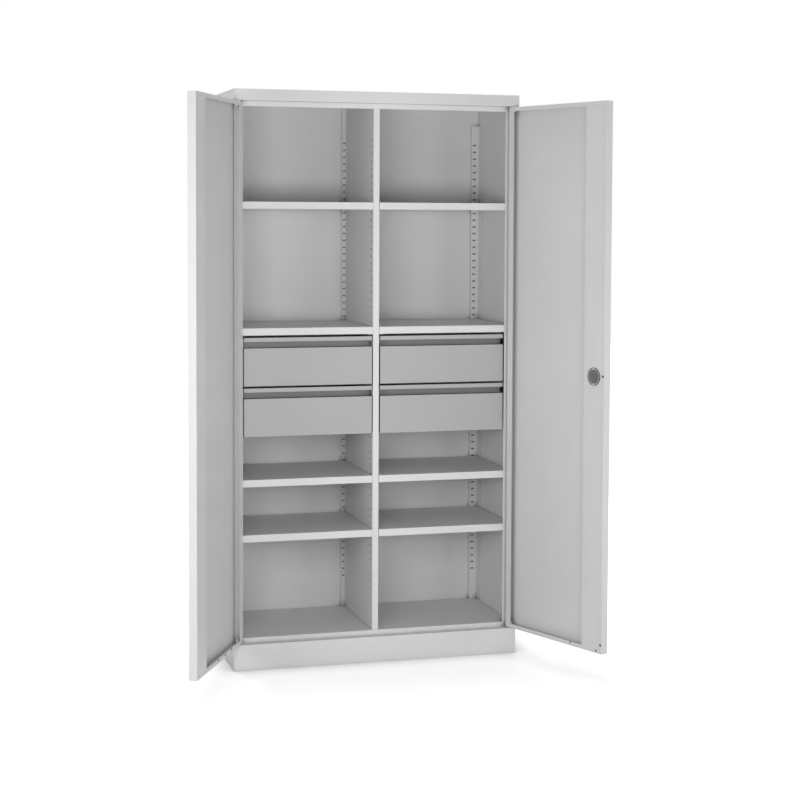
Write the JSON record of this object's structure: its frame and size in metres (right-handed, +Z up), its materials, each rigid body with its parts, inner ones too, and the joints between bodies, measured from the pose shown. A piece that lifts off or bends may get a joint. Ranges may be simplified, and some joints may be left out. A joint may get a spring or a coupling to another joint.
{
  "type": "workshop cabinet",
  "caption": "Tall sheet-steel workshop cabinet with pin-hung doors, a rod lock, a centre partition with slotted posts, clip-hung shelves and drawers with folded grips",
  "frame": {"origin": "on the floor at the middle of the plinth's front edge", "axes": "+Z up, +Y from the front to the back, +X to the right as seen from the front"},
  "size_m": [1.399, 0.887, 1.95],
  "materials": {
    "carcass_paint": "satin light grey powder coat",
    "door_paint": "satin light grey powder coat",
    "front_paint": "satin light grey powder coat",
    "zinc_steel": "zinc plated",
    "bright_steel": "bright turned steel",
    "dark_plastic": "fine matt grain",
    "black_metal": "black painted die casting"
  },
  "bodies": {
    "carcass": {"plinth_front": "carcass_paint", "plinth_back": "carcass_paint", "left_plinth_side": "carcass_paint", "right_plinth_side": "carcass_paint", "floor_panel": "carcass_paint", "left_side_panel": "carcass_paint", "right_side_panel": "carcass_paint", "back_panel": "carcass_paint", "top_cover": "carcass_paint", "top_front_rail": "carcass_paint", "left_front_stile": "carcass_paint", "right_front_stile": "carcass_paint", "left_rear_post": "carcass_paint", "right_rear_post": "carcass_paint", "partition_left_skin": "carcass_paint", "partition_right_skin": "carcass_paint", "partition_rear_post": "carcass_paint", "left_shelf_1": "carcass_paint", "right_shelf_1": "carcass_paint", "left_shelf_2": "carcass_paint", "right_shelf_2": "carcass_paint", "left_shelf_3": "carcass_paint", "right_shelf_3": "carcass_paint", "left_shelf_4": "carcass_paint", "right_shelf_4": "carcass_paint", "shelf_clips": "zinc_steel", "left_outer_drawer_hanger": "carcass_paint", "right_outer_drawer_hanger": "carcass_paint", "left_inner_drawer_hanger": "carcass_paint", "right_inner_drawer_hanger": "carcass_paint", "left_slide_outers": "zinc_steel", "right_slide_outers": "zinc_steel", "hinge_pins": "bright_steel"},
    "left_door": {"left_door_panel": "door_paint", "left_door_stiffener": "door_paint"},
    "right_door": {"right_door_panel": "door_paint", "right_door_stiffener": "door_paint", "lock_rose": "black_metal", "rod_guides": "zinc_steel", "lock_back_plate": "dark_plastic", "lock_screws": "bright_steel"},
    "handle": {"lock_handle": "black_metal", "lock_cylinder": "bright_steel", "lock_cam": "zinc_steel"},
    "upper_rod": {"upper_lock_rod": "zinc_steel"},
    "lower_rod": {"lower_lock_rod": "zinc_steel"},
    "left_upper_drawer": {"left_upper_drawer_box": "carcass_paint", "left_upper_drawer_front": "front_paint", "left_upper_slide_inners": "zinc_steel"},
    "left_lower_drawer": {"left_lower_drawer_box": "carcass_paint", "left_lower_drawer_front": "front_paint", "left_lower_slide_inners": "zinc_steel"},
    "right_upper_drawer": {"right_upper_drawer_box": "carcass_paint", "right_upper_drawer_front": "front_paint", "right_upper_slide_inners": "zinc_steel"},
    "right_lower_drawer": {"right_lower_drawer_box": "carcass_paint", "right_lower_drawer_front": "front_paint", "right_lower_slide_inners": "zinc_steel"}
  },
  "joints": [
    {"name": "left_door_hinge", "type": "hinge", "parent": "carcass", "child": "left_door", "pos_m": [-0.487, 0.013, 1], "axis": [0, 0, -1], "range_deg": [-116.8, 63.2]},
    {"name": "right_door_hinge", "type": "hinge", "parent": "carcass", "child": "right_door", "pos_m": [0.487, 0.013, 1], "axis": [0, 0, 1], "range_deg": [-110.2, 69.8]},
    {"name": "handle_turn", "type": "hinge", "parent": "right_door", "child": "handle", "pos_m": [0.6501, -0.39263, 1.007], "axis": [0.9385, 0.3453, 0], "range_deg": [0, 90]},
    {"name": "upper_rod_slide", "type": "slide", "parent": "right_door", "child": "upper_rod", "axis": [0, 0, 1], "range_m": [0, 0.01838]},
    {"name": "lower_rod_slide", "type": "slide", "parent": "right_door", "child": "lower_rod", "axis": [0, 0, -1], "range_m": [0, 0.01838]},
    {"name": "left_upper_drawer_slide", "type": "slide", "parent": "carcass", "child": "left_upper_drawer", "axis": [0, -1, 0], "range_m": [0, 0.25]},
    {"name": "left_lower_drawer_slide", "type": "slide", "parent": "carcass", "child": "left_lower_drawer", "axis": [0, -1, 0], "range_m": [0, 0.25]},
    {"name": "right_upper_drawer_slide", "type": "slide", "parent": "carcass", "child": "right_upper_drawer", "axis": [0, -1, 0], "range_m": [0, 0.25]},
    {"name": "right_lower_drawer_slide", "type": "slide", "parent": "carcass", "child": "right_lower_drawer", "axis": [0, -1, 0], "range_m": [0, 0.25]}
  ],
  "couplings": [
    {"joint": "handle_turn", "follows": "upper_rod_slide", "rad_per_m": 85.44},
    {"joint": "lower_rod_slide", "follows": "upper_rod_slide", "ratio": 1}
  ]
}
